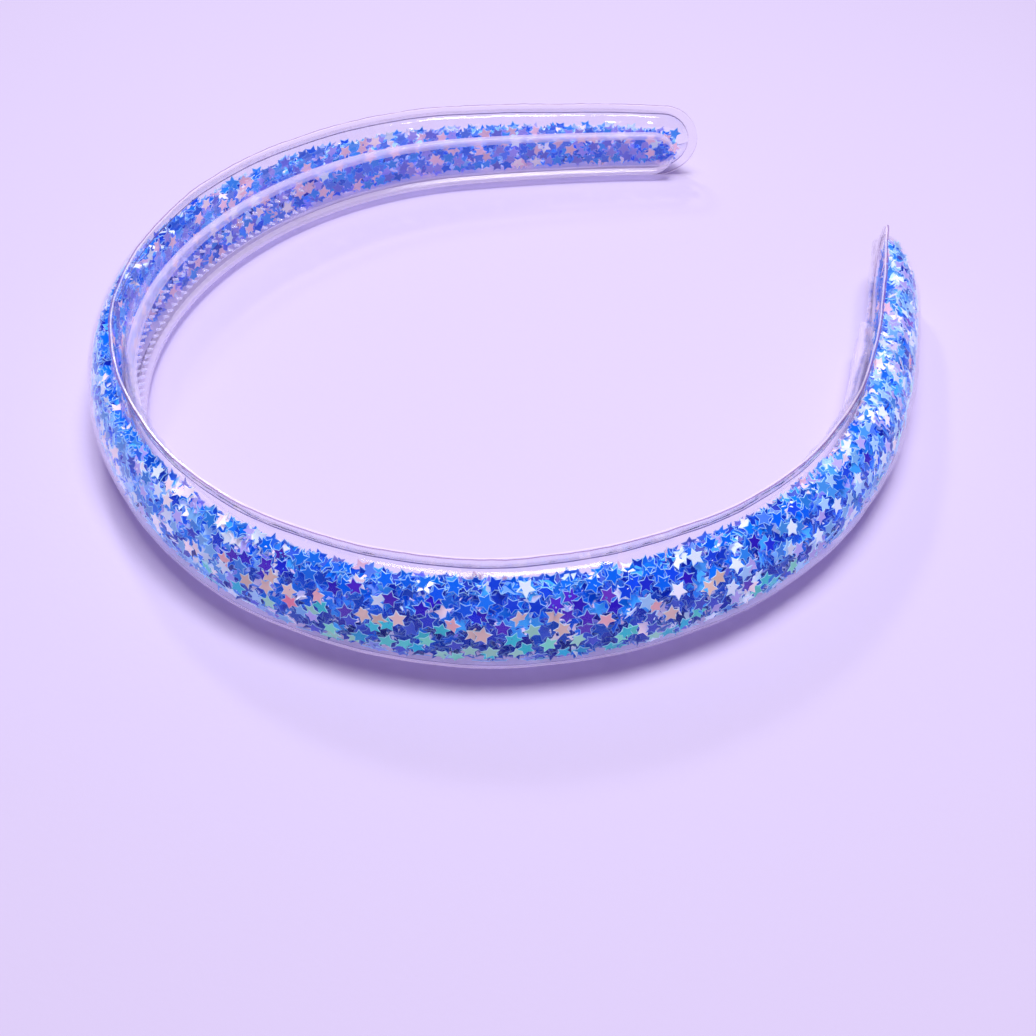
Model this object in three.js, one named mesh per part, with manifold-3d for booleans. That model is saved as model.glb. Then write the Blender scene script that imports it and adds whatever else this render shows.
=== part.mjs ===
// A clear, puffy hoop headband. Two vinyl films are welded along a lip that stands all round them, and
// hold loose star confetti between them. A hard hoop with two rows of short teeth lies on the head side.
// Millimetres, +Z up. The hoop lies on its side, with its crown towards -Y and its opening towards +Y.

import * as THREE from 'three';
import { mergeVertices } from 'three/addons/utils/BufferGeometryUtils.js';
import Module from 'manifold-3d';

const wasm = await Module();
wasm.setup();

// The weld line seen from above, from the crown to one tip: arcs that run into each other.
const WELD_ARCS = [
  { length: 62, radius: 62.8 },
  { length: 79, radius: 70.7 },
  { length: 51, radius: 315 },
];
const TIP_AT = WELD_ARCS.reduce((sum, arc) => sum + arc.length, 0);

// The tube at some distances from the crown: its height as it lies, and how far the outer film swells.
// The bend pulls the tube flat and tall at the crown, and lets it puff out on the arms.
const TUBE_ROWS = [
  { at: 0, height: 21.7, swell: 3.4 },
  { at: 40, height: 21.5, swell: 4.6 },
  { at: 80, height: 20.7, swell: 6.6 },
  { at: 150, height: 18.3, swell: 7.8 },
  { at: TIP_AT, height: 16.1, swell: 7.4 },
];

const FILM = 0.5;
const GAP = 0.3;
const LIP_WIDTH = 2;
const LIP_SEAT = (GAP + FILM) / 2;
const END_ROUNDING = 8;
const SWELL_RUN = 16;

// The fill drags the swell down: these powers of the room above and below shape its section.
const SAG_ABOVE = 0.6;
const SAG_BELOW = 0.25;
const SAG_PEAK = (SAG_BELOW - SAG_ABOVE) / (SAG_BELOW + SAG_ABOVE);

// The hard hoop has dropped towards the floor, and sits a little nearer to one tip than to the other.
const COMB_THICKNESS = 1.4;
const COMB_SEAT = LIP_SEAT + FILM / 2 + GAP;
const COMB_HALF_LENGTH = 176;
const COMB_SHIFT = -11;
const COMB_MIDDLE = { height: 7.9, width: 13.6 };
const COMB_END = { height: 6.3, width: 9.8 };

const TOOTH_PITCH = 2.05;
const TOOTH_ROWS_APART = 4.4;
const TOOTH_SPAN = 184;
const TOOTH_RADIUS = 0.5;
const TOOTH_LENGTH = 1.3;
const TOOTH_SUNK = 0.5;
const TOOTH_LEAN = 0.45;
const TOOTH_SIDES = 5;

// The confetti has settled, so it stops below the top of the tube and short of the tips.
const FILL_LEVEL = 0.76;
const FILL_END = 6;

const BODY_STEPS = 50;
const RUN_STEPS = 3;
const END_STEPS = 5;
const DOME_STEPS = 12;
const DOME_STEP = Math.PI / DOME_STEPS;
const FILL_STEPS = 9;
const COMB_STEPS = 80;
const COMB_END_STEPS = 3;

// Where the weld line is, which way it runs and which way is out, at a distance along it from the crown.
function weldAt(distance) {
  let left = Math.abs(distance);
  let heading = 0;
  const at = new THREE.Vector2();
  for (const { length, radius } of WELD_ARCS) {
    const run = Math.min(left, length);
    const turned = heading + run / radius;
    at.x += radius * (Math.sin(turned) - Math.sin(heading));
    at.y += radius * (Math.cos(heading) - Math.cos(turned));
    heading = turned;
    left -= run;
  }
  const side = Math.sign(distance) || 1;
  return {
    point: new THREE.Vector3(side * at.x, at.y, 0),
    along: new THREE.Vector3(Math.cos(heading), side * Math.sin(heading), 0),
    out: new THREE.Vector3(side * Math.sin(heading), -Math.cos(heading), 0),
  };
}

// A point at a distance from the crown: how far out from the weld line, and how high above the floor.
function placed(distance, out, height) {
  const weld = weldAt(distance);
  return weld.point.addScaledVector(weld.out, out).setZ(height);
}

function tubeRow(distance, column) {
  const at = Math.abs(distance);
  const next = Math.max(1, TUBE_ROWS.findIndex((row) => row.at >= at));
  const [low, high] = [TUBE_ROWS[next - 1], TUBE_ROWS[next]];
  return THREE.MathUtils.mapLinear(at, low.at, high.at, low[column], high[column]);
}

// A quarter of an ellipse: 0 at the tip, 1 from the end of the run onwards.
function roundedEnd(fromTip, run) {
  const short = 1 - THREE.MathUtils.clamp(fromTip / run, 0, 1);
  return Math.sqrt(1 - short * short);
}

// The tube's section: the height of its middle, and half its height at the lip's edge and at the weld.
function sectionAt(distance) {
  const fromTip = TIP_AT - Math.abs(distance);
  const fromWeld = fromTip - LIP_WIDTH;
  const middle = tubeRow(distance, 'height') / 2;
  return {
    middle,
    edge: middle * roundedEnd(fromTip, END_ROUNDING),
    weld: (middle - LIP_WIDTH) * roundedEnd(fromWeld, END_ROUNDING - LIP_WIDTH),
    swell: tubeRow(distance, 'swell') * roundedEnd(fromWeld, SWELL_RUN),
  };
}

// The swell's share at a height from -1, the lower weld, to 1, the upper weld. It is fullest low down.
function sag(height) {
  const room = (at) => (1 - at) ** SAG_ABOVE * (1 + at) ** SAG_BELOW;
  return room(height) / room(SAG_PEAK);
}

function evenStations(from, to, steps) {
  return Array.from({ length: steps + 1 }, (_, step) => THREE.MathUtils.lerp(from, to, step / steps));
}

// Distances to a round end, closer together towards its tip.
function roundStations(tip, run, steps) {
  return evenStations(0, Math.PI / 2, steps).slice(1).map((turn) => tip - run * (1 - Math.sin(turn)));
}

// Distances from the crown at which the films have a section.
function filmStations() {
  const runStart = TIP_AT - LIP_WIDTH - SWELL_RUN;
  const roundStart = TIP_AT - END_ROUNDING;
  const end = [
    ...evenStations(runStart, roundStart, RUN_STEPS).slice(1),
    ...roundStations(TIP_AT - LIP_WIDTH, END_ROUNDING - LIP_WIDTH, END_STEPS),
    ...roundStations(TIP_AT, END_ROUNDING, END_STEPS),
  ].sort((near, far) => near - far);
  const body = evenStations(-runStart, runStart, BODY_STEPS);
  return [...end.map((at) => -at).reverse(), ...body, ...end];
}

// One closed body: corners that fall together become one, and triangles that shrink to a line go.
function closed(geometry) {
  geometry.deleteAttribute('normal');
  geometry.deleteAttribute('uv');
  const merged = mergeVertices(geometry, 1e-3);
  const corners = merged.index.array;
  const kept = [];
  for (let first = 0; first < corners.length; first += 3) {
    const [a, b, c] = corners.slice(first, first + 3);
    if (a !== b && b !== c && c !== a) {
      kept.push(a, b, c);
    }
  }
  merged.setIndex(kept);
  merged.computeVertexNormals();
  return merged;
}

// A slab with one layer of faces on its head side and one on its outer side, bent into place.
function slab(stations, rows, place) {
  const box = new THREE.BoxGeometry(1, 1, 1, stations.length - 1, rows, 1);
  const position = box.attributes.position;
  for (let index = 0; index < position.count; index += 1) {
    const station = Math.round((position.getX(index) + 0.5) * (stations.length - 1));
    const row = Math.round((position.getY(index) + 0.5) * rows);
    const side = Math.sign(position.getZ(index));
    const { x, y, z } = place(stations[station], row, side);
    position.setXYZ(index, x, y, z);
  }
  return closed(box);
}

// The swell's middle line in the section, by the angle that runs from the lower to the upper weld.
function domePoint({ middle, weld, swell }, angle) {
  return new THREE.Vector2(LIP_SEAT + swell * sag(Math.sin(angle)), middle + weld * Math.sin(angle));
}

// A point beside that line: at its outer side, or at its inner side where the offset is negative.
function besideDome(section, angle, offset) {
  const aside = DOME_STEP / 2;
  const rise = domePoint(section, angle + aside).sub(domePoint(section, angle - aside)).normalize();
  return domePoint(section, angle).add(new THREE.Vector2(rise.y, -rise.x).multiplyScalar(offset));
}

// The outer film: lip, swell from the lower to the upper weld, lip.
function outerFilmPoint(distance, row, side) {
  const section = sectionAt(distance);
  const { middle, edge, weld } = section;
  const skin = side * FILM / 2;
  const lowOrHigh = row <= 1 ? -1 : 1;
  if (row === 0 || row === DOME_STEPS + 2) {
    return placed(distance, LIP_SEAT + skin, middle + lowOrHigh * edge);
  }
  if (weld < FILM) {
    return placed(distance, LIP_SEAT + skin, middle);
  }
  if (row === 1 || row === DOME_STEPS + 1) {
    return placed(distance, LIP_SEAT + skin, middle + lowOrHigh * (weld + skin));
  }
  const at = besideDome(section, (row - 1) * DOME_STEP - Math.PI / 2, skin);
  return placed(distance, at.x, at.y);
}

// The inner film is pulled flat, so it is one bent strip with round ends.
function innerFilmPoint(distance, row, side) {
  const { middle, edge } = sectionAt(distance);
  return placed(distance, side * FILM / 2 - LIP_SEAT, middle + (row * 2 - 1) * edge);
}

// The confetti: beside the swell from its lowest row up to a level top, and flat on the head side.
function confettiPoint(distance, row, side) {
  const section = sectionAt(distance);
  const topAngle = Math.asin((2 * FILL_LEVEL - 1) * section.middle / section.weld);
  const angle = Math.min((row + 1) * DOME_STEP - Math.PI / 2, topAngle);
  const at = besideDome(section, angle, -FILM / 2 - GAP);
  return placed(distance, side > 0 ? at.x : LIP_SEAT - FILM / 2, at.y);
}

// The hard hoop's section: the height of its middle, and half its width, which runs out round at its ends.
function combAt(distance) {
  const fromMiddle = Math.abs(distance - COMB_SHIFT);
  const share = fromMiddle / COMB_HALF_LENGTH;
  const halfWidth = THREE.MathUtils.lerp(COMB_MIDDLE.width, COMB_END.width, share) / 2;
  return {
    middle: THREE.MathUtils.lerp(COMB_MIDDLE.height, COMB_END.height, share),
    edge: halfWidth * roundedEnd(COMB_HALF_LENGTH - fromMiddle, COMB_END.width / 2),
  };
}

function combStations() {
  const round = COMB_END.width / 2;
  const straight = COMB_HALF_LENGTH - round;
  const end = roundStations(COMB_HALF_LENGTH, round, COMB_END_STEPS);
  const body = evenStations(-straight, straight, COMB_STEPS);
  return [...end.map((at) => -at).reverse(), ...body, ...end].map((at) => at + COMB_SHIFT);
}

function combPoint(distance, row, side) {
  const { middle, edge } = combAt(distance);
  const out = side > 0 ? -COMB_SEAT : -COMB_SEAT - COMB_THICKNESS;
  return placed(distance, out, middle + (row * 2 - 1) * edge);
}

// A tooth stands on the hoop's head side and leans along the hoop, away from the crown.
function tooth(distance, height) {
  const cone = new THREE.ConeGeometry(TOOTH_RADIUS, TOOTH_LENGTH + TOOTH_SUNK, TOOTH_SIDES);
  cone.translate(0, (TOOTH_LENGTH - TOOTH_SUNK) / 2, 0);
  const { along, out } = weldAt(distance);
  const away = Math.sign(distance - COMB_SHIFT) || 1;
  const pointing = out.clone().negate().addScaledVector(along, away * TOOTH_LEAN).normalize();
  cone.applyQuaternion(new THREE.Quaternion().setFromUnitVectors(new THREE.Vector3(0, 1, 0), pointing));
  cone.translate(...placed(distance, -COMB_SEAT - COMB_THICKNESS, height));
  return closed(cone);
}

function toothPlaces() {
  const count = Math.floor(TOOTH_SPAN / TOOTH_PITCH);
  const first = COMB_SHIFT - ((count - 1) * TOOTH_PITCH) / 2;
  const places = [];
  for (let index = 0; index < count; index += 1) {
    const distance = first + index * TOOTH_PITCH;
    for (const lowOrHigh of [-1, 1]) {
      places.push({ distance, height: combAt(distance).middle + lowOrHigh * TOOTH_ROWS_APART / 2 });
    }
  }
  return places;
}

function asSolid(geometry) {
  const vertProperties = Float32Array.from(geometry.attributes.position.array);
  const triVerts = Uint32Array.from(geometry.index.array);
  return new wasm.Manifold(new wasm.Mesh({ numProp: 3, vertProperties, triVerts }));
}

function asGeometry(solid) {
  const { vertProperties, triVerts } = solid.getMesh();
  const geometry = new THREE.BufferGeometry();
  geometry.setAttribute('position', new THREE.BufferAttribute(vertProperties, 3));
  geometry.setIndex(new THREE.BufferAttribute(triVerts, 1));
  geometry.computeVertexNormals();
  return geometry;
}

function combBand() {
  const hoop = asSolid(slab(combStations(), 1, combPoint));
  const teeth = toothPlaces().map(({ distance, height }) => asSolid(tooth(distance, height)));
  return asGeometry(teeth.reduce((joined, next) => joined.add(next), hoop));
}

const clearVinyl = new THREE.MeshStandardMaterial({
  name: 'clear_vinyl', color: 0xe6e0fa, roughness: 0.06, metalness: 0, transparent: true, opacity: 0.3,
});
const clearHardPlastic = new THREE.MeshStandardMaterial({
  name: 'clear_hard_plastic', color: 0xdcd6f4, roughness: 0.12, metalness: 0, transparent: true, opacity: 0.4,
});
const blueFoil = new THREE.MeshStandardMaterial({
  name: 'blue_foil', color: 0x3f78f0, roughness: 0.22, metalness: 0.35,
});

const films = filmStations();
const fill = evenStations(FILL_END - TIP_AT, TIP_AT - FILL_END, BODY_STEPS);
const pieces = [
  { name: 'outer_film', geometry: slab(films, DOME_STEPS + 2, outerFilmPoint), material: clearVinyl },
  { name: 'inner_film', geometry: slab(films, 1, innerFilmPoint), material: clearVinyl },
  { name: 'comb_band', geometry: combBand(), material: clearHardPlastic },
  { name: 'star_confetti', geometry: slab(fill, FILL_STEPS, confettiPoint), material: blueFoil },
];

const headband = new THREE.Group();
headband.name = 'headband';
for (const { name, geometry, material } of pieces) {
  const mesh = new THREE.Mesh(geometry, material);
  mesh.name = name;
  headband.add(mesh);
}

// The origin is under the middle of the hoop.
const bounds = new THREE.Box3().setFromObject(headband);
headband.position.y = -(bounds.min.y + bounds.max.y) / 2;

export default headband;
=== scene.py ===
"""The looks of a clear, puffy hoop headband that is filled with star flakes.

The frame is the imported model. Sizes here are millimetres, and they become metres where a mesh is made.
A place on the headband is a distance along the weld line from the crown, a reach outwards from that line
and a height above the floor.
"""
import math

import bmesh
import bpy
import numpy as np
from mathutils import Matrix, Vector


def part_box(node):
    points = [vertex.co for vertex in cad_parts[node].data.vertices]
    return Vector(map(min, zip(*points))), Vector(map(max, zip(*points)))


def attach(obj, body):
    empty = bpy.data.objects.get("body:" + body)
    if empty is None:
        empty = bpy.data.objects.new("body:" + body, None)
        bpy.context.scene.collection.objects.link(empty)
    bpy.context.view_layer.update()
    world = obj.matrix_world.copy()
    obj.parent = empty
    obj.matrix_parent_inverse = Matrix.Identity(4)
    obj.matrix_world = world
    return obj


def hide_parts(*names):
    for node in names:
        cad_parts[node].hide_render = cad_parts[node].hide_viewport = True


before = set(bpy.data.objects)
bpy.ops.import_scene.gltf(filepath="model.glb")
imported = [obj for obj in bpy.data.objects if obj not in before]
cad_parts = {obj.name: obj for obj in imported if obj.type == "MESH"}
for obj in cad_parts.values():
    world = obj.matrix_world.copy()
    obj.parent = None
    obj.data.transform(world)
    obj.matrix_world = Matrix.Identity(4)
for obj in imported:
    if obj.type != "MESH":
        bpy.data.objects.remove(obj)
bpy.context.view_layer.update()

MM = 0.001
draw = np.random.default_rng(11)

# The weld line from the crown to one tip, as arcs: length, radius.
WELD_ARCS = ((62.0, 62.8), (79.0, 70.7), (51.0, 315.0))
TIP_AT = sum(length for length, _ in WELD_ARCS)

# The tube along the weld line: distance from the crown, height, swell of the outer film.
TUBE_AT = (0.0, 40.0, 80.0, 150.0, TIP_AT)
TUBE_HEIGHT = (21.7, 21.5, 20.7, 18.3, 16.1)
TUBE_SWELL = (5.0, 5.9, 7.5, 8.5, 7.9)

# The films' thickness, and the welded lip's width, the gap between its halves and the line along the weld.
FILM = 0.25
LIP_WIDTH = 2.0
LIP_GAP = 0.06
LINE_WIDTH = 0.28
LINE_TAPERS_BELOW = 3.0
# How far from the tips the tube's outline rounds off, and its swell fades out.
END_ROUNDING = 8.0
SWELL_RUN = 16.0
# The inner film's swell above the hard hoop, from the weld down: depth below the weld, swell.
SWELL_BELOW_WELD = (0.0, 0.05, 0.32, 1.25, 1.5, 1.9, 3.6)
INNER_SWELL = (0.0, 0.12, 0.6, 0.8, 1.25, 1.4, 1.0)
# The inner film's depth where it lies flat, and the run over which it rounds off to that depth at the welds.
FLAT_DEPTH = 0.45
FLAT_ROUNDING = 2.5
# The run above the hard hoop over which the swell sets in, and the half height of a tube that swells fully.
SWELL_SETS_IN = 1.5
FULL_SWELL_FROM = 5.0
# How blunt the outer film's section is above and below its fullest place.
SAG_ABOVE = 0.5
SAG_BELOW = 0.25

# The crown of the weld line in the frame: the inner film's outer face is this far inside it.
INNER_FACE_AT = 0.15
CROWN_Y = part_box("inner_film")[0].y / MM - INNER_FACE_AT

# The hard hoop: half its length, how far it has slipped along the tube, its middle and end sections.
HOOP_SEAT = 0.95
HOOP_HALF_LENGTH = 176.0
HOOP_SHIFT = -11.0
HOOP_HEIGHT = (7.9, 6.3)
HOOP_WIDTH = (13.6, 9.8)
# Its section: round rims along both edges, and a thinner channel between them for the teeth.
# The rims' radius and width, the channel's start from the edge and its thickness.
RIM_RADIUS = 0.95
RIM_WIDTH = 1.7
CHANNEL_FROM_EDGE = 2.3
CHANNEL_THICKNESS = 1.2
# The rims' share of their width at the hoop's middle and at its ends.
RIM_TAPER = (1.1, 0.65)
# The teeth: two rows of short cones that lean along the hoop and are sunk a little into the channel.
TOOTH_PITCH = 2.05
TOOTH_ROWS_APART = 4.4
TOOTH_LIFT = 0.3
TOOTH_SPAN = 184.0
TOOTH_LENGTH = 0.9
TOOTH_RADIUS = 0.36
TOOTH_LEAN = 0.45
TOOTH_SUNK = 0.2
TOOTH_SIDES = 8
TOOTH_TIP_SHARE = 0.5
TOOTH_BEVEL = 0.1

# The star flakes, and how far they keep from the films.
STAR_POINTS = 5
STAR_RADIUS = 1.55
STAR_WAIST = 0.8
STAR_THICKNESS = 0.14
STAR_RIM = 0.13
FLAKE_CLEARANCE = 0.12


def weld_at(distance):
    """The weld line's points, and the directions along it and outwards from it, in the plane."""
    left = np.abs(distance)
    heading = np.zeros_like(left)
    x = np.zeros_like(left)
    y = np.zeros_like(left)
    for length, radius in WELD_ARCS:
        run = np.minimum(left, length)
        turned = heading + run / radius
        x = x + radius * (np.sin(turned) - np.sin(heading))
        y = y + radius * (np.cos(heading) - np.cos(turned))
        heading = turned
        left = left - run
    side = np.where(distance < 0, -1.0, 1.0)
    point = np.stack([side * x, y + CROWN_Y, np.zeros_like(x)], -1)
    along = np.stack([np.cos(heading), side * np.sin(heading), np.zeros_like(x)], -1)
    outwards = np.stack([side * np.sin(heading), -np.cos(heading), np.zeros_like(x)], -1)
    return point, along, outwards


def placed(distance, reach, height):
    """Points in metres, from distances along the weld line, reaches outwards and heights."""
    distance, reach, height = np.broadcast_arrays(np.asarray(distance, float), reach, height)
    point, _, outwards = weld_at(distance)
    point = point + outwards * reach[..., None]
    point[..., 2] = height
    return point * MM


def rounded_end(from_tip, run):
    short = 1 - np.clip(from_tip / run, 0, 1)
    return np.sqrt(1 - short * short)


def section_at(distance):
    """The tube's middle height, half its height at the lip's edge and at the weld, and its swell."""
    at = np.abs(distance)
    middle = np.interp(at, TUBE_AT, TUBE_HEIGHT) / 2
    from_weld = TIP_AT - at - LIP_WIDTH
    edge = middle * rounded_end(TIP_AT - at, END_ROUNDING)
    weld = (middle - LIP_WIDTH) * rounded_end(from_weld, END_ROUNDING - LIP_WIDTH)
    swell = np.interp(at, TUBE_AT, TUBE_SWELL) * rounded_end(from_weld, SWELL_RUN)
    return middle, edge, weld, swell


def sag(height):
    """The swell's share at a height from -1, the lower weld, to 1, the upper weld."""
    peak = (SAG_BELOW - SAG_ABOVE) / (SAG_BELOW + SAG_ABOVE)
    height = np.clip(height, -1, 1)
    shape = (1 - height) ** SAG_ABOVE * (1 + height) ** SAG_BELOW
    return shape / ((1 - peak) ** SAG_ABOVE * (1 + peak) ** SAG_BELOW)


def ripple(at, waves):
    """A smooth wander along a length: a sum of waves of given length, depth and shift."""
    return sum(depth * np.sin(2 * math.pi * at / length + shift) for length, depth, shift in waves)


# Finishes

# How sharply a film's mirroring grows where it turns away.
FILM_STEEPNESS = 6.0
# The flakes' painted glow, an emission for the light that they let through, and the painted highlight colour
# that their cut edges are blended with.
FLAKE_PAINTED_GLOW = 0.28
FLAKE_EDGE_HIGHLIGHT = (0.5, 0.86, 1.0)
FLOOR_COLOUR = (0.7, 0.63, 0.88)


def new_material(name):
    material = bpy.data.materials.new(name)
    material.use_nodes = True
    nodes = material.node_tree.nodes
    return material, nodes, material.node_tree.links, nodes["Principled BSDF"]


def fine_bump(nodes, links, shader, scale, strength, distance):
    place = nodes.new("ShaderNodeTexCoord")
    noise = nodes.new("ShaderNodeTexNoise")
    noise.inputs["Scale"].default_value = scale
    noise.inputs["Detail"].default_value = 3.0
    bump = nodes.new("ShaderNodeBump")
    bump.inputs["Strength"].default_value = strength
    bump.inputs["Distance"].default_value = distance
    links.new(place.outputs["Object"], noise.inputs["Vector"])
    links.new(noise.outputs["Fac"], bump.inputs["Height"])
    links.new(bump.outputs["Normal"], shader.inputs["Normal"])


def film_finish(name, shade, gloss, edge_gloss, roughness):
    """Thin clear plastic: it shows what is straight behind it, and mirrors more where it turns away."""
    material, nodes, links, shader = new_material(name)
    shader.inputs["Base Color"].default_value = (1, 1, 1, 1)
    shader.inputs["Metallic"].default_value = 1.0
    shader.inputs["Roughness"].default_value = roughness
    straight = nodes.new("ShaderNodeBsdfTransparent")
    straight.inputs["Color"].default_value = (*shade, 1)
    turned = nodes.new("ShaderNodeLayerWeight")
    turned.inputs["Blend"].default_value = 0.5
    steep = nodes.new("ShaderNodeMath")
    steep.operation = "POWER"
    steep.inputs[1].default_value = FILM_STEEPNESS
    share = nodes.new("ShaderNodeMath")
    share.operation = "MULTIPLY_ADD"
    share.inputs[1].default_value = edge_gloss
    share.inputs[2].default_value = gloss
    mix = nodes.new("ShaderNodeMixShader")
    links.new(turned.outputs["Facing"], steep.inputs[0])
    links.new(steep.outputs[0], share.inputs[0])
    links.new(share.outputs[0], mix.inputs[0])
    links.new(straight.outputs[0], mix.inputs[1])
    links.new(shader.outputs[0], mix.inputs[2])
    links.new(mix.outputs[0], nodes["Material Output"].inputs["Surface"])
    return material


def milky_finish(name, colour, shade, roughness, clearness, through, glow):
    """Plastic with a body: a part of what is behind it shows straight through, and its emission is a painted
    glow for the light that it gathers.
    """
    material, nodes, links, shader = new_material(name)
    shader.inputs["Base Color"].default_value = (*colour, 1)
    shader.inputs["Roughness"].default_value = roughness
    shader.inputs["IOR"].default_value = 1.45
    shader.inputs["Transmission Weight"].default_value = clearness
    shader.inputs["Emission Color"].default_value = (*colour, 1)
    shader.inputs["Emission Strength"].default_value = glow
    straight = nodes.new("ShaderNodeBsdfTransparent")
    straight.inputs["Color"].default_value = (*shade, 1)
    mix = nodes.new("ShaderNodeMixShader")
    mix.inputs[0].default_value = through
    links.new(shader.outputs[0], mix.inputs[1])
    links.new(straight.outputs[0], mix.inputs[2])
    links.new(mix.outputs[0], nodes["Material Output"].inputs["Surface"])
    return material


def flake_finish(name, pale, roughness):
    """A star flake in its own tint, with a painted highlight on its cut edge, and a painted glow for the
    light it lets through.
    """
    material, nodes, links, shader = new_material(name)
    tint = nodes.new("ShaderNodeAttribute")
    tint.attribute_name = "tint"
    blend = nodes.new("ShaderNodeMix")
    blend.data_type = "RGBA"
    blend.inputs["Factor"].default_value = pale
    links.new(tint.outputs["Color"], blend.inputs["A"])
    blend.inputs["B"].default_value = (*FLAKE_EDGE_HIGHLIGHT, 1)
    links.new(blend.outputs["Result"], shader.inputs["Base Color"])
    shader.inputs["Roughness"].default_value = roughness
    shader.inputs["Specular IOR Level"].default_value = 0.2
    links.new(blend.outputs["Result"], shader.inputs["Emission Color"])
    shader.inputs["Emission Strength"].default_value = FLAKE_PAINTED_GLOW
    return material


def floor_finish():
    material, nodes, links, shader = new_material("floor_paper")
    shader.inputs["Base Color"].default_value = (*FLOOR_COLOUR, 1)
    shader.inputs["Roughness"].default_value = 0.75
    shader.inputs["Specular IOR Level"].default_value = 0.15
    fine_bump(nodes, links, shader, scale=900.0, strength=0.08, distance=0.0003)
    return material


# Pieces

# Edges that turn by more degrees than this stay sharp in the shading.
SHARP_ANGLE = 40


def finish_piece(mesh_maker, name, node, materials, sharp=None):
    """Turns a bmesh or a mesh into a piece of the headband that stands for a node."""
    if isinstance(mesh_maker, bpy.types.Mesh):
        mesh = mesh_maker
    else:
        mesh = bpy.data.meshes.new(name)
        mesh_maker.to_mesh(mesh)
        mesh_maker.free()
    for material in materials:
        mesh.materials.append(material)
    if sharp is not None:
        mesh.polygons.foreach_set("use_smooth", np.ones(len(mesh.polygons), bool))
        mesh.set_sharp_from_angle(angle=math.radians(sharp))
    piece = bpy.data.objects.new(name, mesh)
    bpy.context.scene.collection.objects.link(piece)
    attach(piece, "root")
    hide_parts(node)
    return piece


def bent_grid(points, bands):
    """A grid whose corners go to the points, an array of stations by rows by three.

    Bands are the material numbers of the strips between the rows.
    """
    stations, rows, _ = points.shape
    sheet = bmesh.new()
    bmesh.ops.create_grid(sheet, x_segments=stations - 1, y_segments=rows - 1, size=0.5)
    row_of = {vert: round((vert.co.y + 0.5) * (rows - 1)) for vert in sheet.verts}
    for face in sheet.faces:
        face.material_index = bands[min(row_of[vert] for vert in face.verts)]
    for vert, row in row_of.items():
        vert.co = points[round((vert.co.x + 0.5) * (stations - 1)), row]
    bmesh.ops.remove_doubles(sheet, verts=sheet.verts[:], dist=1e-6)
    return sheet


def walled(sheet, thickness, outwards, edge_material):
    """Gives a sheet its thickness, on the outer side of the hoop or on the head side, and its cut edges."""
    bmesh.ops.recalc_face_normals(sheet, faces=sheet.faces[:])
    axis = Vector((0, CROWN_Y + WELD_ARCS[0][1], 0)) * MM
    facing = sum(face.normal.dot(face.calc_center_median() - axis) for face in sheet.faces)
    if (facing > 0) != outwards:
        bmesh.ops.reverse_faces(sheet, faces=sheet.faces[:])
    before = set(sheet.verts)
    bmesh.ops.solidify(sheet, geom=sheet.faces[:], thickness=-thickness)
    for face in sheet.faces:
        kept = len(before.intersection(face.verts))
        if 0 < kept < len(face.verts):
            face.material_index = edge_material
        elif kept == 0 and face.material_index == LINE:
            face.material_index = CLEAR
    bmesh.ops.recalc_face_normals(sheet, faces=sheet.faces[:])
    return sheet


# The films' materials by number: clear, the lines along the welds and the painted shade line low on the outer
# film, the pressed lips, the painted pale strip along the outer film's foot and on the inner film's cut
# edges, and the outer film's cut edges, painted dark as shade.
CLEAR, LINE, PRESSED, PAINTED_PALE, EDGE = range(5)


def film_bands(angles, root, strip):
    """The materials of a film's strips: pressed lips, the roots along the welds, and the strips between."""
    between = [strip(low, high) for low, high in zip(angles, angles[1:])]
    return [PRESSED, PRESSED, root, *between, root, PRESSED, PRESSED]


# The outer film's strips: the painted shade line, the painted pale strip below it, and clear film above.
def outer_strip(low, high):
    if low <= PAINTED_LINE_ANGLE < high:
        return LINE
    return PAINTED_PALE if high <= PAINTED_LINE_ANGLE else CLEAR


def inner_strip(low, _):
    return PRESSED if low >= SHEEN_ANGLE else CLEAR


def lip_rows(distance, reach, edge_height, weld_height):
    """A lip from its cut edge to the weld, with a thin strip along the weld that tapers off at the tips."""
    _, _, weld, _ = section_at(distance)
    side = np.sign(edge_height - weld_height)
    near_weld = weld_height + side * LINE_WIDTH * np.minimum(1, weld / LINE_TAPERS_BELOW)
    heights = (edge_height, (edge_height + near_weld) / 2, near_weld)
    return [placed(distance, reach, height) for height in heights]


BODY_STATIONS = 341
END_STATIONS = 15


def film_stations():
    """Distances along the weld line, closer together towards the round ends."""
    straight = TIP_AT - LIP_WIDTH - SWELL_RUN
    body = np.linspace(-straight, straight, BODY_STATIONS)
    turn = np.linspace(0, math.pi / 2, END_STATIONS)[1:]
    run = straight + (TIP_AT - LIP_WIDTH - straight) * np.sin(turn)
    tip = TIP_AT - END_ROUNDING * (1 - np.sin(turn))
    end = np.unique(np.concatenate([run, tip]).round(4))
    return np.concatenate([-end[::-1], body, end])


# Waves along the films: length, depth, shift. The lips wander, their cut edges waver, the outer film
# puckers and the inner film's swell has pleats.
LIP_WAVES = ((47.0, 0.12, 0.4), (19.0, 0.06, 1.9), (7.3, 0.02, 0.2))
EDGE_WAVES = ((3.1, 0.03, 0.0), (1.37, 0.025, 1.1), (11.0, 0.05, 2.0))
PUCKER_WAVES = ((9.7, 0.05, 0.3), (5.9, 0.03, 1.4), (23.0, 0.08, 2.2))
PLEAT_WAVES = ((7.3, 0.09, 0.5), (3.1, 0.09, 1.0), (13.0, 0.08, 2.0))
# The painted shade line along the foot of the outer film, and where the inner film's slope shines, round
# their sections.
PAINTED_LINE_ANGLE = -45.0
PAINTED_LINE_TURN = 2.0
SHEEN_ANGLE = 42.0
OUTER_ROWS = 41
INNER_ROWS = 61
# The share of the pucker that is left below the outer film's middle, and the inner film's share of the
# outer film's wavering edge.
LOW_PUCKER = 0.35
INNER_WAVER = 0.4


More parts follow.
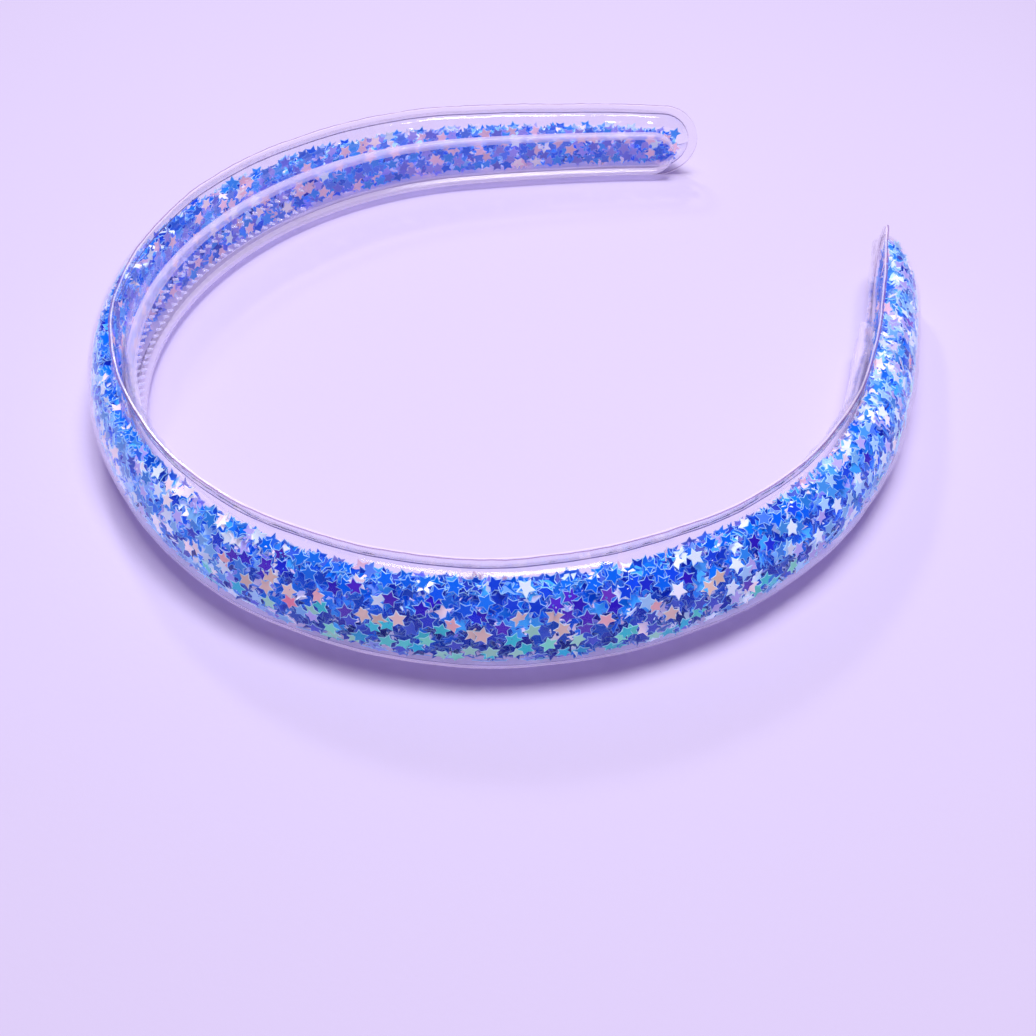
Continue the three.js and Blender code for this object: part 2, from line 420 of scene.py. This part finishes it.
def outer_film():
    """The swollen film: lip, swell and lip, from the floor upwards."""
    distance = film_stations()
    middle, edge, weld, swell = section_at(distance)
    lip_reach = LIP_GAP / 2 + ripple(distance, LIP_WAVES)
    cut = ripple(distance, EDGE_WAVES) * (edge > weld)
    foot = middle - edge + np.abs(cut)
    rows = lip_rows(distance, lip_reach, foot, middle - weld)
    angles = np.sort(np.append(np.linspace(-90, 90, OUTER_ROWS), PAINTED_LINE_ANGLE + PAINTED_LINE_TURN))
    for up in np.sin(np.radians(angles)):
        upper = LOW_PUCKER + (1 - LOW_PUCKER) * max(up, 0)
        pucker = ripple(distance, PUCKER_WAVES) * (1 - abs(up)) * upper
        reach = lip_reach + swell * sag(up) + pucker * np.minimum(1, swell / 2)
        rows.append(placed(distance, reach, middle + weld * up))
    rows += lip_rows(distance, lip_reach, middle + edge + cut, middle + weld)[::-1]
    sheet = bent_grid(np.stack(rows, 1), film_bands(angles, LINE, outer_strip))
    return walled(sheet, FILM * MM, True, EDGE)


def hoop_at(distance):
    """The hard hoop's middle height and half its width."""
    from_middle = np.abs(distance - HOOP_SHIFT)
    share = from_middle / HOOP_HALF_LENGTH
    half_width = (HOOP_WIDTH[0] + (HOOP_WIDTH[1] - HOOP_WIDTH[0]) * share) / 2
    middle = HOOP_HEIGHT[0] + (HOOP_HEIGHT[1] - HOOP_HEIGHT[0]) * share
    return middle, half_width * rounded_end(HOOP_HALF_LENGTH - from_middle, HOOP_WIDTH[1] / 2)


def inner_film():
    """The film on the head side: it swells above the hard hoop, and lies flat behind it."""
    distance = film_stations()
    middle, edge, weld, swell = section_at(distance)
    hoop_middle, hoop_half = hoop_at(distance)
    free_from = hoop_middle + hoop_half - middle
    lip_reach = -LIP_GAP / 2 + ripple(distance, LIP_WAVES)
    cut = INNER_WAVER * ripple(distance + 5.0, EDGE_WAVES) * (edge > weld)
    foot = middle - edge + np.abs(cut)
    rows = lip_rows(distance, lip_reach, foot, middle - weld)
    pleats = 1 + ripple(distance, PLEAT_WAVES)
    angles = np.linspace(-90, 90, INNER_ROWS)
    for up in np.sin(np.radians(angles)):
        round_off = rounded_end(weld * (1 - abs(up)), FLAT_ROUNDING)
        puff = np.interp(weld * (1 - up), SWELL_BELOW_WELD, INNER_SWELL)
        above_hoop = np.clip((weld * up - free_from) / SWELL_SETS_IN, 0, 1)
        puff = puff * pleats * np.sin(above_hoop * math.pi / 2) * np.minimum(1, weld / FULL_SWELL_FROM)
        rows.append(placed(distance, lip_reach - FLAT_DEPTH * round_off - puff, middle + weld * up))
    rows += lip_rows(distance, lip_reach, middle + edge + cut, middle + weld)[::-1]
    sheet = bent_grid(np.stack(rows, 1), film_bands(angles, PRESSED, inner_strip))
    return walled(sheet, FILM * MM, False, PAINTED_PALE)


# The hard hoop's materials by number.
CHANNEL, RIM, TOOTH = range(3)


def hoop_outline():
    """The hoop's section once round, as side, distance from that side's edge, depth and material."""
    rim = []
    for angle in np.radians(np.linspace(0, 90, 6)):
        rim.append((RIM_RADIUS * (1 - math.cos(angle)), RIM_RADIUS * math.sin(angle)))
    front = [(from_edge, RIM_RADIUS + rise, RIM) for from_edge, rise in rim]
    front += [(RIM_WIDTH, 2 * RIM_RADIUS, RIM), (CHANNEL_FROM_EDGE, CHANNEL_THICKNESS, CHANNEL)]
    rear = [(from_edge, RIM_RADIUS - rise, RIM) for from_edge, rise in rim[1:]]
    rear += [(CHANNEL_FROM_EDGE, 0.0, CHANNEL)]
    rows = [(-1, *row) for row in front] + [(1, *row) for row in reversed(front)]
    rows += [(1, *row) for row in rear] + [(-1, *row) for row in reversed(rear)]
    return rows + rows[:1]


def hard_hoop():
    """The hoop on the head side: a bent channel with round rims, and two rows of slanted teeth."""
    straight = HOOP_HALF_LENGTH - HOOP_WIDTH[1] / 2
    turn = np.linspace(0, math.pi / 2, 13)[1:]
    end = straight + (HOOP_HALF_LENGTH - straight) * np.sin(turn)
    distance = np.concatenate([-end[::-1], np.linspace(-straight, straight, 221), end]) + HOOP_SHIFT
    middle, half = hoop_at(distance)
    blunt = rounded_end(HOOP_HALF_LENGTH - np.abs(distance - HOOP_SHIFT), RIM_RADIUS)
    taper = np.interp(np.abs(distance - HOOP_SHIFT), (0, HOOP_HALF_LENGTH), RIM_TAPER)
    shrink = taper * np.minimum(1, half / (CHANNEL_FROM_EDGE + 0.5))
    outline = hoop_outline()
    rows = []
    for side, from_edge, depth, _ in outline:
        reach = HOOP_SEAT + RIM_RADIUS + (depth - RIM_RADIUS) * blunt
        rows.append(placed(distance, -reach, middle + side * (half - from_edge * shrink)))
    bands = [max(row[3], after[3]) for row, after in zip(outline, outline[1:])]
    strip = bent_grid(np.stack(rows, 1), bands)
    bmesh.ops.recalc_face_normals(strip, faces=strip.faces[:])
    for at in np.arange(-TOOTH_SPAN / 2, TOOTH_SPAN / 2, TOOTH_PITCH) + HOOP_SHIFT:
        for low_or_high in (-1, 1):
            add_tooth(strip, at, low_or_high)
    return strip


def add_tooth(strip, at, low_or_high):
    """A short blunt tooth that leans along the hoop, away from its middle."""
    _, along, outwards = (Vector(direction) for direction in weld_at(np.asarray(at)))
    lean = math.copysign(TOOTH_LEAN, at - HOOP_SHIFT)
    pointing = (along * lean - outwards).normalized()
    height = float(hoop_at(np.asarray(at))[0]) + TOOTH_LIFT + low_or_high * TOOTH_ROWS_APART / 2
    foot = Vector(placed(at, -HOOP_SEAT - CHANNEL_THICKNESS, height))
    length = (TOOTH_LENGTH + TOOTH_SUNK) * MM
    turn = pointing.to_track_quat("Z", "Y").to_matrix().to_4x4()
    place = Matrix.Translation(foot + pointing * (length / 2 - TOOTH_SUNK * MM)) @ turn
    made = bmesh.ops.create_cone(
        strip, cap_ends=True, segments=TOOTH_SIDES, radius1=TOOTH_RADIUS * MM,
        radius2=TOOTH_RADIUS * TOOTH_TIP_SHARE * MM, depth=length, matrix=place,
    )
    faces = {face for vert in made["verts"] for face in vert.link_faces}
    for face in faces:
        face.material_index = TOOTH
    caps = [face for face in faces if len(face.verts) == TOOTH_SIDES]
    tip = max(caps, key=lambda face: (face.calc_center_median() - foot).dot(pointing))
    bmesh.ops.bevel(
        strip, geom=tip.edges[:], offset=TOOTH_BEVEL * MM, offset_type="OFFSET", segments=2, profile=0.5,
        affect="EDGES", material=-1,
    )


# The fill's top along the weld line, from one tip to the other, as a share of the tube's height.
FILL_AT = (-TIP_AT, -150.0, -110.0, -70.0, -30.0, 0.0, 110.0, TIP_AT)
FILL_LEVEL = (0.42, 0.48, 0.6, 0.68, 0.8, 0.85, 0.86, 0.8)
# The top of the flakes that cling to the inner film.
HEAD_LEVEL = (0.62, 0.63, 0.77, 0.8, 0.83, 0.85, 0.86, 0.8)
# The fill stops this far from the tips. Its foot is given as a share of the way from the middle to the lower
# weld, and on the head side as a height. The flakes on the tube's floor run up to a place on the weld line.
FILL_END = 4.5
FILL_LOWEST = -0.92
FILL_HIGHEST = 0.97
HEAD_FILL_FROM = 1.6
FOOT_LAYER_TO = -25.0
# The fill's foot keeps this far from the outer film, where the film's wall is seen on edge.
FOOT_INSET = 0.5

# Tints of the flakes: those that lie flat from the top of the fill down to its foot, those on the arms,
# the loose ones behind them in the upper and the lower half, on the head side, and the white painted glints.
# The zones by height and the arm tints are painted iridescence: the colour shift by the angle of light and
# view.
TINTS = {
    "crest": ((0, 104, 240), (0, 86, 232), (14, 70, 222), (20, 120, 246), (0, 96, 236)),
    "royal": ((24, 44, 206), (44, 24, 190), (78, 40, 196), (12, 66, 218), (104, 56, 190)),
    "blush": (
        (240, 180, 188), (226, 194, 180), (216, 188, 178), (238, 134, 162), (232, 200, 194), (40, 60, 200),
        (90, 60, 196),
    ),
    "mint": ((126, 226, 200), (160, 222, 200), (48, 200, 212), (84, 212, 206), (10, 180, 214), (60, 80, 206)),
    "foot": ((20, 160, 210), (60, 110, 220), (90, 90, 210), (40, 180, 205), (130, 150, 225)),
    "arm": (
        (122, 184, 245), (70, 152, 237), (160, 204, 250), (178, 170, 239), (218, 232, 254), (44, 130, 226),
    ),
    "deep": ((0, 98, 222), (0, 74, 202), (10, 52, 180), (0, 120, 236), (0, 108, 230), (60, 166, 250)),
    "under": ((6, 52, 172), (22, 40, 164), (4, 36, 140), (38, 70, 190), (0, 76, 192), (58, 90, 206)),
    "head": (
        (84, 128, 236), (60, 148, 244), (110, 118, 224), (40, 104, 228), (243, 200, 220), (156, 150, 238),
    ),
    # White flakes that are painted glints.
    "flash": ((255, 246, 252), (255, 232, 240), (240, 240, 255), (225, 240, 255)),
}
# Where the tint zones of the flat flakes begin, as shares of the way up the fill; painted iridescence by
# height.
ZONE_BORDERS = ((0.84, "crest"), (0.68, "royal"), (0.52, "blush"), (0.18, "mint"), (-1.0, "foot"))
# The place on the weld line that faces the camera, where no flake has an arm's tint; how far from it the
# arm tints set in, the run over which they grow, and their largest share. The paler arm tints are painted
# iridescence, the colour shift as the flakes turn away from the camera.
FRONT_AT = 55.0
ARM_TINTS_FROM = 22.0
ARM_TINTS_RUN = 35.0
ARM_TINTS_MOST = 0.88
# The arm tints' share of the loose flakes on the left and on the right.
LOOSE_ARM_TINTS = (0.7, 0.3)
# Shares of flakes painted white as glints: flat ones, more of them on the arms, loose ones, head side and
# top.
FLAT_FLASH = 0.02
ARM_FLASH = 0.12
LOOSE_FLASH = 0.06
HEAD_FLASH = 0.07
TOP_FLASH = 0.12


def linear(tints):
    share = np.asarray(tints, float) / 255
    return np.where(share <= 0.04045, share / 12.92, ((share + 0.055) / 1.055) ** 2.4)


def fill_top(distance, levels=FILL_LEVEL):
    """The height of the fill's top, from -1 at the lower weld to 1 at the upper weld."""
    middle, _, weld, _ = section_at(distance)
    level = np.interp(distance, FILL_AT, levels) * middle * 2
    return np.clip((level - middle) / weld, FILL_LOWEST, FILL_HIGHEST)


def dome_place(distance, up, depth):
    """Reach, height and the section's outward direction, at a depth under the outer film."""
    middle, _, weld, swell = section_at(distance)
    step = 0.03
    high, low = np.clip(up + step, -1, 1), np.clip(up - step, -1, 1)
    run = swell * (sag(high) - sag(low))
    rise = weld * (high - low)
    length = np.hypot(run, rise)
    facing_out, facing_up = rise / length, -run / length
    reach = LIP_GAP / 2 + swell * sag(up) - depth * facing_out
    return reach, middle + weld * up - depth * facing_up, facing_out, facing_up


def even_heights(distance, share, top):
    """Heights that are evenly spread along the outer film's section, by shares of its length."""
    _, _, weld, swell = section_at(distance)
    steps = np.linspace(0, 1, 33)
    up = FILL_LOWEST + (top - FILL_LOWEST)[:, None] * steps
    run = np.diff(swell[:, None] * sag(up), axis=1)
    rise = np.diff(weld[:, None] * up, axis=1)
    length = np.concatenate([np.zeros((len(up), 1)), np.cumsum(np.hypot(run, rise), axis=1)], axis=1)
    return np.array([np.interp(s * l[-1], l, u) for s, l, u in zip(share, length, up)])


def scattered(pitch, rows, first=-TIP_AT + FILL_END, last=TIP_AT - FILL_END):
    """Distances and shares of a loose, staggered pattern."""
    columns = int((last - first) / pitch)
    column, row = np.meshgrid(np.arange(columns), np.arange(rows))
    column = column + 0.5 * (row % 2) + draw.uniform(-0.4, 0.4, column.shape)
    share = (row + 0.5 + draw.uniform(-0.42, 0.42, row.shape)) / rows
    distance = first + (column + 0.5) * pitch
    return np.clip(distance, first, last).ravel(), np.clip(share, 0, 1).ravel()


def tilted(normal, spread):
    """Directions near the given ones, by a spread in radians."""
    moved = normal + np.tan(spread) * draw.normal(0, 0.6, normal.shape)
    return moved / np.linalg.norm(moved, axis=1, keepdims=True)


def tints_of(names):
    """One tint of each named zone, in linear colour."""
    chosen = np.zeros((len(names), 3))
    for zone, tints in TINTS.items():
        here = names == zone
        pick = draw.integers(0, len(tints), here.sum())
        chosen[here] = linear(tints)[pick]
    return chosen * draw.uniform(0.85, 1.1, (len(names), 1))


def on_arms(distance):
    """The share of flakes that take an arm's tint: none at the front, most of them on both arms."""
    return np.clip((np.abs(distance - FRONT_AT) - ARM_TINTS_FROM) / ARM_TINTS_RUN, 0, ARM_TINTS_MOST)


def flat_zones(share, distance):
    """The tint zone of each flake that lies flat on the outer film, painted iridescence by height and on the
    arms.
    """
    wander = share + draw.normal(0, 0.06, share.shape)
    names = np.full(share.shape, "foot", dtype="<U8")
    for border, zone in reversed(ZONE_BORDERS):
        names[wander > border] = zone
    arm = on_arms(distance)
    names[draw.random(share.shape) < arm] = "arm"
    names[draw.random(share.shape) < FLAT_FLASH + ARM_FLASH * arm] = "flash"
    return names


def loose_zones(share, distance):
    """The tint zone of each loose flake behind the flat ones, with the arm tints as painted iridescence."""
    wander = share + draw.normal(0, 0.12, share.shape)
    names = np.where(wander > 0.5, "deep", "under").astype("<U8")
    names[draw.random(share.shape) < 0.5 * on_arms(distance)] = "deep"
    pale = np.where(distance < FRONT_AT, *LOOSE_ARM_TINTS) * on_arms(distance)
    names[draw.random(share.shape) < pale] = "arm"
    names[draw.random(share.shape) < LOOSE_FLASH] = "flash"
    return names


def directions(distance, facing_out, facing_up):
    _, _, outwards = weld_at(distance)
    return outwards * facing_out[:, None] + np.array([0, 0, 1.0]) * facing_up[:, None]


def across_flake(normal):
    """Two directions in each flake's plane, at right angles to each other."""
    helper = np.where(np.abs(normal[:, 2:]) < 0.8, [[0, 0, 1.0]], [[1.0, 0, 0]])
    along = np.cross(helper, normal)
    along = along / np.linalg.norm(along, axis=1, keepdims=True)
    return along, np.cross(normal, along)


# How a flake is fitted in: points round its rim, pushes to and fro between the films, and how far its rim may
# be past the clearance from the outer and the inner film.
RIM_POINTS = 8
PUSHES = 5
PAST_OUTER = 0.1
PAST_INNER = 0.3


def kept_inside(distance, reach, height, normal, names):
    """Moves flakes clear of both films, and drops those that find no room."""
    middle, _, weld, swell = section_at(distance)
    _, _, outwards = weld_at(distance)
    along, across = across_flake(normal)
    turn = np.arange(RIM_POINTS)[:, None, None] * 2 * math.pi / RIM_POINTS
    rim = STAR_RADIUS * (np.cos(turn) * along + np.sin(turn) * across)
    rim_out = (rim * outwards).sum(-1)
    rim_up = rim[..., 2]
    for _ in range(PUSHES):
        wall = swell * sag((height + rim_up - middle) / weld) - FLAKE_CLEARANCE
        past = (reach + rim_out - wall).max(0)
        reach = reach - np.maximum(past, 0)
        short = (FLAKE_CLEARANCE - reach - rim_out).max(0)
        reach = reach + np.maximum(short, 0) / 2
    wall = swell * sag((height + rim_up - middle) / weld) - FLAKE_CLEARANCE
    past = (reach + rim_out - wall).max(0)
    short = (FLAKE_CLEARANCE - reach - rim_out).max(0)
    fits = (past < PAST_OUTER) & (short < PAST_INNER)
    place = placed(distance, reach, height) / MM
    return place[fits], normal[fits], tints_of(names)[fits]


def outer_layer(pitch, rows, depth, spreads, zones):
    """Flakes that lie against the outer film, or behind those that do.

    Spreads are how far they tilt at the foot and at the top, in radians.
    """
    distance, share = scattered(pitch, rows)
    top = fill_top(distance) + draw.normal(0, 0.04, distance.shape)
    up = even_heights(distance, share, np.minimum(top, FILL_HIGHEST))
    depth = depth + draw.uniform(0, 0.3, up.shape) + FOOT_INSET * np.clip((-0.1 - up) / 0.6, 0, 1)
    reach, height, facing_out, facing_up = dome_place(distance, up, depth)
    spread = np.interp(share, (0, 1), spreads)[:, None]
    normal = tilted(directions(distance, facing_out, facing_up), spread)
    return kept_inside(distance, reach, height, normal, zones(share, distance))


def head_layer(pitch, rows, depth, spread):
    """Flakes that lie against the inner film."""
    distance, share = scattered(pitch, rows)
    middle, _, weld, _ = section_at(distance)
    lowest = HEAD_FILL_FROM + STAR_RADIUS
    height = lowest + (middle + weld * fill_top(distance, HEAD_LEVEL) - lowest) * share
    reach = depth + draw.uniform(0, 0.35, height.shape)
    names = np.where(draw.random(height.shape) < HEAD_FLASH, "flash", "head")
    normal = tilted(directions(distance, -np.ones_like(height), np.zeros_like(height)), spread)
    return kept_inside(distance, reach, height, normal, names)


def foot_layer(pitch, rows):
    """Flakes that lie on the tube's floor along the slimmer half, where they show through the hard hoop."""
    distance, share = scattered(pitch, rows, last=FOOT_LAYER_TO)
    middle, _, weld, swell = section_at(distance)
    height = middle - weld + draw.uniform(0.5, 1.2, distance.shape)
    reach = FLAKE_CLEARANCE + STAR_RADIUS + share * np.maximum(0.7 * swell - 2 * STAR_RADIUS - 0.4, 0)
    names = np.where(draw.random(height.shape) < HEAD_FLASH, "flash", "head")
    normal = tilted(directions(distance, np.full_like(height, -0.1), np.ones_like(height)), 0.16)
    return kept_inside(distance, reach, height, normal, names)


def top_layer(pitch, rows):
    """Flakes that lie loose on the fill's top."""
    distance, share = scattered(pitch, rows)
    up = fill_top(distance) - 0.04
    reach, height, _, _ = dome_place(distance, up, 0.9)
    reach = 0.5 + share * np.maximum(reach - 0.5, 0.1)
    names = np.where(np.abs(distance) > 110, "arm", "deep").astype("<U8")
    names[draw.random(up.shape) < TOP_FLASH] = "flash"
    normal = tilted(directions(distance, np.full_like(up, 0.25), np.ones_like(up)), 0.5)
    return kept_inside(distance, reach, height, normal, names)


def inside_flakes(count):
    """Flakes that tumble in the middle of the fill."""
    distance = draw.uniform(-TIP_AT + 8, TIP_AT - 8, count)
    share = draw.uniform(0.05, 0.95, count)
    up = FILL_LOWEST + (fill_top(distance) - FILL_LOWEST) * share
    reach, height, _, _ = dome_place(distance, up, 1.6)
    reach = 0.6 + draw.random(count) * np.maximum(reach - 0.6, 0)
    normal = draw.normal(0, 1, (count, 3))
    normal = normal / np.linalg.norm(normal, axis=1, keepdims=True)
    return kept_inside(distance, reach, height, normal, loose_zones(share, distance))


def star_outline():
    corner = np.arange(2 * STAR_POINTS)
    turn = corner * math.pi / STAR_POINTS
    radius = np.where(corner % 2 == 0, STAR_RADIUS, STAR_WAIST)
    return np.stack([radius * np.cos(turn), radius * np.sin(turn)], -1)


def flake_mesh(name, layers):
    """One mesh of flat stars with sloping cut edges, from their places, directions and tints."""
    place, normal, tint = (np.concatenate(parts) for parts in zip(*layers))
    count = len(place)
    first, second = across_flake(normal)
    spin = draw.uniform(0, 2 * math.pi, (count, 1))
    along = first * np.cos(spin) + second * np.sin(spin)
    across = np.cross(normal, along)
    outline = star_outline()
    size = draw.uniform(0.94, 1.04, (count, 1, 1))
    flat = (outline[None, :, :1] * along[:, None] + outline[None, :, 1:] * across[:, None]) * size
    face = flat * (1 - STAR_RIM)
    half = normal[:, None] * STAR_THICKNESS / 2
    centre = place[:, None]
    points = np.concatenate([centre + face - half, centre + flat, centre + face + half], axis=1)
    around = len(outline)
    each = 3 * around
    ring = np.arange(around)
    after = (ring + 1) % around
    lower = np.stack([ring, after, after + around, ring + around], -1)
    corners = np.concatenate([ring[::-1], ring + 2 * around, lower.ravel(), (lower + around).ravel()])
    corners = (corners[None] + each * np.arange(count)[:, None]).ravel()
    lengths = np.tile([around] * 2 + [4] * 2 * around, count)
    mesh = bpy.data.meshes.new(name)
    mesh.vertices.add(count * each)
    mesh.vertices.foreach_set("co", (points * MM).astype(np.float32).ravel())
    mesh.loops.add(len(corners))
    mesh.loops.foreach_set("vertex_index", corners.astype(np.int32))
    mesh.polygons.add(len(lengths))
    starts = np.concatenate([[0], np.cumsum(lengths)[:-1]])
    mesh.polygons.foreach_set("loop_start", starts.astype(np.int32))
    mesh.polygons.foreach_set("material_index", np.tile([0] * 2 + [1] * 2 * around, count).astype(np.int32))
    mesh.update(calc_edges=True)
    mesh.polygons.foreach_set("use_smooth", np.zeros(len(lengths), bool))
    colours = np.ones((count, each, 4), np.float32)
    colours[..., :3] = tint[:, None]
    layer = mesh.attributes.new("tint", "FLOAT_COLOR", "POINT")
    layer.data.foreach_set("color", colours.ravel())
    mesh.validate()
    return mesh


def vinyl_finishes():
    film = film_finish("clear_vinyl", (0.99, 0.985, 1.0), gloss=0.01, edge_gloss=0.8, roughness=0.03)
    # The dark line along the welds, and the painted shade line low on the outer film.
    line = milky_finish(
        "vinyl_line", (0.08, 0.045, 0.27), (0.85, 0.8, 0.95),
        roughness=0.5, clearness=0.0, through=0.3, glow=0.0,
    )
    # The outer film's cut edges, painted as a dark line of shade.
    edge = milky_finish(
        "vinyl_edge_painted_shade", (0.26, 0.13, 0.36), (0.85, 0.8, 0.95),
        roughness=0.5, clearness=0.0, through=0.45, glow=0.0,
    )
    pressed = film_finish("pressed_vinyl", (0.99, 0.985, 1.0), gloss=0.05, edge_gloss=0.4, roughness=0.1)
    # A painted pale strip with a painted glow: a highlight along the outer film's foot and on the inner
    # film's cut edges.
    foot = milky_finish(
        "vinyl_painted_pale", (0.9, 0.8, 0.97), (0.98, 0.96, 1.0),
        roughness=0.15, clearness=0.0, through=0.5, glow=0.2,
    )
    return [film, line, pressed, foot, edge]


def hard_finishes():
    channel = film_finish(
        "clear_hard_plastic", (0.96, 0.95, 1.0), gloss=0.015, edge_gloss=0.15, roughness=0.05,
    )
    # The rims and teeth are milky, as slightly frosted plastic is. Their paler colour and their glow are
    # painted light, for the light that the clear hoop carries to its edges.
    rim = milky_finish(
        "hard_plastic_rim", (0.92, 0.84, 1.0), (0.96, 0.94, 1.0),
        roughness=0.12, clearness=0.25, through=0.58, glow=0.2,
    )
    tooth = milky_finish(
        "hard_plastic_tooth", (0.86, 0.82, 1.0), (0.92, 0.9, 1.0),
        roughness=0.1, clearness=0.5, through=0.5, glow=0.25,
    )
    return [channel, rim, tooth]


def add_flakes():
    """The fill in heaps, from the flakes on the outer film inwards."""
    # The rims take a painted highlight, strong on the flat flakes and those on top, weak on the loose ones.
    face = flake_finish("flake_face", pale=0.0, roughness=0.3)
    bright = [face, flake_finish("flake_rim_highlight", pale=0.6, roughness=0.2)]
    plain = [face, flake_finish("loose_flake_rim_highlight", pale=0.22, roughness=0.2)]
    heaps = (
        ("outer_flakes", bright, [
            outer_layer(pitch=3.2, rows=7, depth=0.3, spreads=(0.08, 0.26), zones=flat_zones)]),
        ("loose_flakes", plain, [
            outer_layer(pitch=2.5, rows=9, depth=0.9, spreads=(0.6, 0.6), zones=loose_zones)]),
        ("deep_flakes", plain, [
            outer_layer(pitch=2.3, rows=9, depth=1.9, spreads=(1.2, 1.2), zones=loose_zones)]),
        ("middle_flakes", plain, [inside_flakes(count=2600)]),
        ("head_side_flakes", plain, [
            head_layer(pitch=2.9, rows=5, depth=0.2, spread=0.12),
            head_layer(pitch=2.3, rows=7, depth=0.6, spread=0.6)]),
        ("top_flakes", bright, [top_layer(pitch=1.9, rows=3)]),
        ("foot_flakes", plain, [foot_layer(pitch=1.7, rows=3)]),
    )
    for name, finishes, layers in heaps:
        finish_piece(flake_mesh(name, layers), name, "star_confetti", finishes)


def add_headband():
    vinyl = vinyl_finishes()
    finish_piece(outer_film(), "outer_film_skin", "outer_film", vinyl, SHARP_ANGLE)
    finish_piece(inner_film(), "inner_film_skin", "inner_film", vinyl, SHARP_ANGLE)
    finish_piece(hard_hoop(), "toothed_hoop", "comb_band", hard_finishes(), SHARP_ANGLE)
    add_flakes()


# Stage

# The camera: degrees, the lens in millimetres, and a place that it aims at, from the crown of the weld line.
CAMERA_AZIMUTH = 48.0
CAMERA_ELEVATION = 45.63
CAMERA_ROLL = 1.2314
CAMERA_DISTANCE = 239.16
CAMERA_AIM = (30.0, 45.65, 0.0)
CAMERA_LENS = 49.57


def add_camera():
    """The camera at the photograph's angle."""
    azimuth, elevation, roll = map(math.radians, (CAMERA_AZIMUTH, CAMERA_ELEVATION, CAMERA_ROLL))
    level = math.cos(elevation)
    back = Vector((math.sin(azimuth) * level, -math.cos(azimuth) * level, math.sin(elevation)))
    right = Vector((math.cos(azimuth), math.sin(azimuth), 0))
    up = back.cross(right)
    turned_right = right * math.cos(roll) + up * math.sin(roll)
    turned_up = up * math.cos(roll) - right * math.sin(roll)
    aim = Vector((CAMERA_AIM[0], CAMERA_AIM[1] + CROWN_Y, CAMERA_AIM[2])) * MM
    data = bpy.data.cameras.new("camera")
    data.lens = CAMERA_LENS
    data.sensor_width = 36.0
    data.clip_start = 0.01
    camera = bpy.data.objects.new("camera", data)
    turn = Matrix((turned_right, turned_up, back)).transposed().to_4x4()
    camera.matrix_world = Matrix.Translation(aim + back * CAMERA_DISTANCE * MM) @ turn
    bpy.context.scene.collection.objects.link(camera)
    bpy.context.scene.camera = camera


def add_floor():
    sheet = bmesh.new()
    bmesh.ops.create_grid(sheet, x_segments=2, y_segments=2, size=3.0)
    mesh = bpy.data.meshes.new("floor")
    sheet.to_mesh(mesh)
    sheet.free()
    mesh.materials.append(floor_finish())
    floor = bpy.data.objects.new("floor", mesh)
    bpy.context.scene.collection.objects.link(floor)


# Area lights: name, place, width and depth in metres, power in watts, colour.
LIGHTS = (
    ("softbox", (-0.02, 0.0, 0.75), 0.3, 0.3, 3.5, (1.0, 0.96, 0.98)),
    ("overhead", (0.04, 0.1, 0.65), 0.16, 0.16, 1.5, (1.0, 0.98, 0.99)),
    ("left", (-0.62, 0.22, 0.6), 0.08, 0.08, 1.3, (1.0, 1.0, 1.0)),
    ("front", (0.5, -0.5, 0.42), 0.7, 0.5, 0.2, (1.0, 0.98, 1.0)),
)


WORLD_COLOUR = (0.76, 0.46, 1.0)
WORLD_STRENGTH = 0.14


def add_lights():
    for name, place, width, depth, power, colour in LIGHTS:
        data = bpy.data.lights.new(name, "AREA")
        data.shape = "RECTANGLE"
        data.size = width
        data.size_y = depth
        data.energy = power
        data.color = colour
        lamp = bpy.data.objects.new(name, data)
        lamp.location = place
        lamp.rotation_mode = "QUATERNION"
        lamp.rotation_quaternion = (-Vector(place)).to_track_quat("-Z", "Y")
        bpy.context.scene.collection.objects.link(lamp)
    world = bpy.data.worlds.new("studio")
    world.use_nodes = True
    background = world.node_tree.nodes["Background"]
    background.inputs["Color"].default_value = (*WORLD_COLOUR, 1)
    background.inputs["Strength"].default_value = WORLD_STRENGTH
    bpy.context.scene.world = world
    bpy.context.scene.view_settings.view_transform = "Standard"


add_camera()
add_floor()
add_lights()
add_headband()
